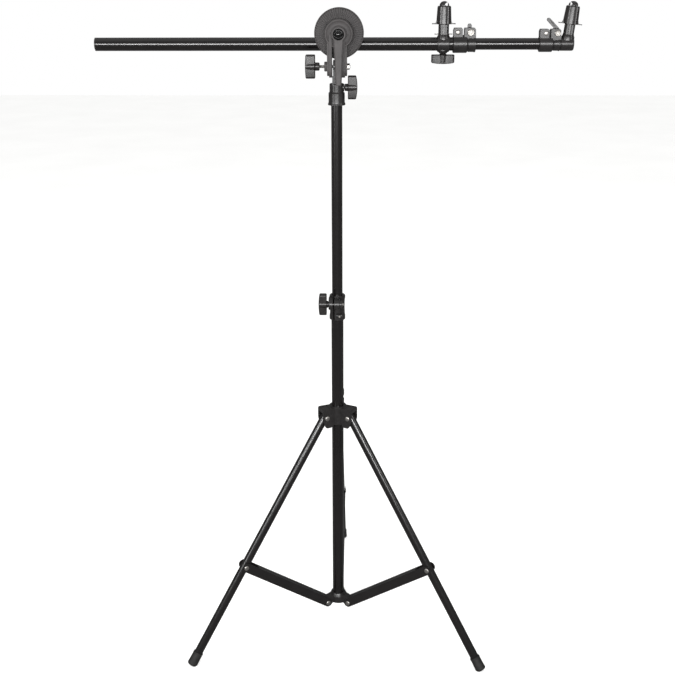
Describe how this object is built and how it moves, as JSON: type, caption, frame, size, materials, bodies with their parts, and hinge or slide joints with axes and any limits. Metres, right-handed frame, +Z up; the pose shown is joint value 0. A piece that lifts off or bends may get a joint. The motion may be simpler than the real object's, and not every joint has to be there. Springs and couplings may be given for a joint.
{
  "type": "light stand with telescopic boom",
  "caption": "Folding three-leg light stand with a telescopic column, a swivel and tilt head with lever lock, and a telescopic boom carrying spring clips for a reflector disc.",
  "frame": {"origin": "on the floor, on the axis of the column, midway between the three feet", "axes": "+Z up along the column, +X along the boom towards its clips, -Y towards the front of the head, where its lock lever is"},
  "size_m": [0.8209, 0.4918, 1.193],
  "materials": {
    "black_anodised_tube": "black anodised, satin",
    "black_painted_steel": "black enamel, semi-gloss",
    "moulded_black_nylon": "moulded, fine texture",
    "ribbed_knob_plastic": "moulded, ribbed grip",
    "nickel_steel": "nickel plated",
    "spring_steel": "bright wire",
    "black_rubber": "moulded rubber",
    "gloss_black_cap": "polished dome"
  },
  "bodies": {
    "column": {"lower_tube": "black_anodised_tube", "column_end_plug": "moulded_black_nylon", "bottom_hub": "moulded_black_nylon", "brace_pivot_rivets": "nickel_steel", "clamp_collar": "moulded_black_nylon", "clamp_nut": "nickel_steel"},
    "leg_hub": {"leg_hub": "moulded_black_nylon", "leg_pivot_rivets": "nickel_steel"},
    "hub_knob": {"hub_knob": "ribbed_knob_plastic"},
    "clamp_knob": {"clamp_knob": "ribbed_knob_plastic", "clamp_screw": "nickel_steel"},
    "upper_column": {"upper_tube": "black_anodised_tube", "tube_bushing": "moulded_black_nylon", "spigot": "nickel_steel"},
    "swivel": {"swivel_socket": "moulded_black_nylon"},
    "socket_knob": {"socket_knob": "ribbed_knob_plastic", "socket_screw": "nickel_steel"},
    "tilt_head": {"head_bracket": "moulded_black_nylon", "tilt_nut": "nickel_steel", "pivot_bolt": "nickel_steel", "pivot_nut": "nickel_steel"},
    "tilt_knob": {"tilt_knob": "ribbed_knob_plastic", "tilt_screw": "nickel_steel"},
    "boom_mount": {"ribbed_disc": "moulded_black_nylon", "boom_holder": "moulded_black_nylon"},
    "lock_lever": {"lock_lever": "moulded_black_nylon", "lever_cap": "gloss_black_cap"},
    "boom_outer": {"boom_outer_tube": "black_anodised_tube", "boom_tail_plug": "moulded_black_nylon", "lock1_collar": "moulded_black_nylon", "lock1_screws": "nickel_steel"},
    "flip_lever1": {"flip_lever1": "moulded_black_nylon"},
    "sliding_clip": {"slider_post": "moulded_black_nylon", "slider_cross_pin": "nickel_steel", "slider_spring": "spring_steel"},
    "slider_knob": {"slider_knob": "ribbed_knob_plastic", "slider_screw": "nickel_steel"},
    "slider_sleeve": {"slider_sleeve": "moulded_black_nylon"},
    "boom_middle": {"boom_middle_tube": "black_anodised_tube", "lock2_collar": "moulded_black_nylon", "lock2_screws": "nickel_steel"},
    "flip_lever2": {"flip_lever2": "moulded_black_nylon"},
    "boom_inner": {"boom_inner_tube": "black_anodised_tube", "end_clip_post": "moulded_black_nylon", "end_spring": "spring_steel"},
    "end_sleeve": {"end_sleeve": "moulded_black_nylon"},
    "leg_left": {"leg_left": "black_anodised_tube", "foot_left": "black_rubber"},
    "brace_left": {"brace_left": "black_painted_steel", "knee_rivets_left": "nickel_steel"},
    "leg_right": {"leg_right": "black_anodised_tube", "foot_right": "black_rubber"},
    "brace_right": {"brace_right": "black_painted_steel", "knee_rivets_right": "nickel_steel"},
    "leg_rear": {"leg_rear": "black_anodised_tube", "foot_rear": "black_rubber"},
    "brace_rear": {"brace_rear": "black_painted_steel", "knee_rivets_rear": "nickel_steel"}
  },
  "joints": [
    {"name": "hub_slide", "type": "slide", "parent": "column", "child": "leg_hub", "axis": [0, 0, 1], "range_m": [0, 0.1335]},
    {"name": "leg_left_fold", "type": "hinge", "parent": "leg_hub", "child": "leg_left", "pos_m": [-0.02382, -0.01375, 0.4535], "axis": [0.5, -0.866, 0], "range_deg": [0, 28.8]},
    {"name": "brace_left_fold", "type": "hinge", "parent": "column", "child": "brace_left", "pos_m": [-0.02382, -0.01375, 0.0485], "axis": [-0.5, 0.866, 0], "range_deg": [0, 46.76]},
    {"name": "leg_right_fold", "type": "hinge", "parent": "leg_hub", "child": "leg_right", "pos_m": [0.02382, -0.01375, 0.4535], "axis": [0.5, 0.866, 0], "range_deg": [0, 28.8]},
    {"name": "brace_right_fold", "type": "hinge", "parent": "column", "child": "brace_right", "pos_m": [0.02382, -0.01375, 0.0485], "axis": [-0.5, -0.866, 0], "range_deg": [0, 46.76]},
    {"name": "leg_rear_fold", "type": "hinge", "parent": "leg_hub", "child": "leg_rear", "pos_m": [0, 0.0275, 0.4535], "axis": [-1, 0, 0], "range_deg": [0, 28.8]},
    {"name": "brace_rear_fold", "type": "hinge", "parent": "column", "child": "brace_rear", "pos_m": [0, 0.0275, 0.0485], "axis": [1, 0, 0], "range_deg": [0, 46.76]},
    {"name": "hub_knob_turn", "type": "hinge", "parent": "leg_hub", "child": "hub_knob", "pos_m": [0, 0.03, 0.4845], "axis": [0, 1, 0], "continuous": true},
    {"name": "clamp_knob_turn", "type": "hinge", "parent": "column", "child": "clamp_knob", "pos_m": [0, -0.021, 0.6775], "axis": [1, 0, 0], "continuous": true},
    {"name": "height_slide", "type": "slide", "parent": "column", "child": "upper_column", "axis": [0, 0, 1], "range_m": [-0.33, 0.16]},
    {"name": "swivel_turn", "type": "hinge", "parent": "upper_column", "child": "swivel", "pos_m": [0, 0, 1.04], "axis": [0, 0, 1], "continuous": true},
    {"name": "socket_knob_turn", "type": "hinge", "parent": "swivel", "child": "socket_knob", "pos_m": [0.02, 0, 1.055], "axis": [1, 0, 0], "continuous": true},
    {"name": "head_tilt", "type": "hinge", "parent": "swivel", "child": "tilt_head", "pos_m": [0, 0, 1.089], "axis": [1, 0, 0], "range_deg": [-45, 10]},
    {"name": "tilt_knob_turn", "type": "hinge", "parent": "tilt_head", "child": "tilt_knob", "pos_m": [-0.03, 0, 1.089], "axis": [1, 0, 0], "continuous": true},
    {"name": "boom_swing", "type": "hinge", "parent": "tilt_head", "child": "boom_mount", "pos_m": [0.004, 0, 1.142], "axis": [0, 1, 0], "range_deg": [-45, 90]},
    {"name": "lock_lever_turn", "type": "hinge", "parent": "tilt_head", "child": "lock_lever", "pos_m": [0.004, 0, 1.142], "axis": [0, 1, 0], "range_deg": [-75, 75]},
    {"name": "boom_slide", "type": "slide", "parent": "boom_mount", "child": "boom_outer", "axis": [1, 0, 0], "range_m": [-0.06, 0.3]},
    {"name": "flip_lever1_turn", "type": "hinge", "parent": "boom_outer", "child": "flip_lever1", "pos_m": [0.224, 0.033, 1.142], "axis": [0, 1, 0], "range_deg": [0, 135]},
    {"name": "clip_slide", "type": "slide", "parent": "boom_outer", "child": "sliding_clip", "axis": [1, 0, 0], "range_m": [-0.07, 0.005]},
    {"name": "slider_knob_turn", "type": "hinge", "parent": "sliding_clip", "child": "slider_knob", "pos_m": [0.179, 0.033, 1.107], "axis": [0, 0, 1], "continuous": true},
    {"name": "slider_sleeve_pull", "type": "slide", "parent": "sliding_clip", "child": "slider_sleeve", "axis": [0, 0, -1], "range_m": [0, 0.0055], "stiffness_N_per_m": 250, "springref_m": -0.012, "deforming": ["slider_spring"]},
    {"name": "boom_middle_slide", "type": "slide", "parent": "boom_outer", "child": "boom_middle", "axis": [1, 0, 0], "range_m": [0, 0.42]},
    {"name": "flip_lever2_turn", "type": "hinge", "parent": "boom_middle", "child": "flip_lever2", "pos_m": [0.3684, 0.033, 1.1405], "axis": [0, 1, 0], "range_deg": [-135, 0]},
    {"name": "boom_inner_slide", "type": "slide", "parent": "boom_middle", "child": "boom_inner", "axis": [1, 0, 0], "range_m": [0, 0.42]},
    {"name": "end_sleeve_pull", "type": "slide", "parent": "boom_inner", "child": "end_sleeve", "axis": [-0.1045, 0, -0.9945], "range_m": [0, 0.0055], "stiffness_N_per_m": 250, "springref_m": -0.012, "deforming": ["end_spring"]}
  ],
  "couplings": [
    {"joint": "leg_left_fold", "follows": "hub_slide", "rad_per_m": 3.726},
    {"joint": "brace_left_fold", "follows": "hub_slide", "rad_per_m": 6.0739},
    {"joint": "leg_right_fold", "follows": "hub_slide", "rad_per_m": 3.726},
    {"joint": "brace_right_fold", "follows": "hub_slide", "rad_per_m": 6.0739},
    {"joint": "leg_rear_fold", "follows": "hub_slide", "rad_per_m": 3.726},
    {"joint": "brace_rear_fold", "follows": "hub_slide", "rad_per_m": 6.0739}
  ]
}
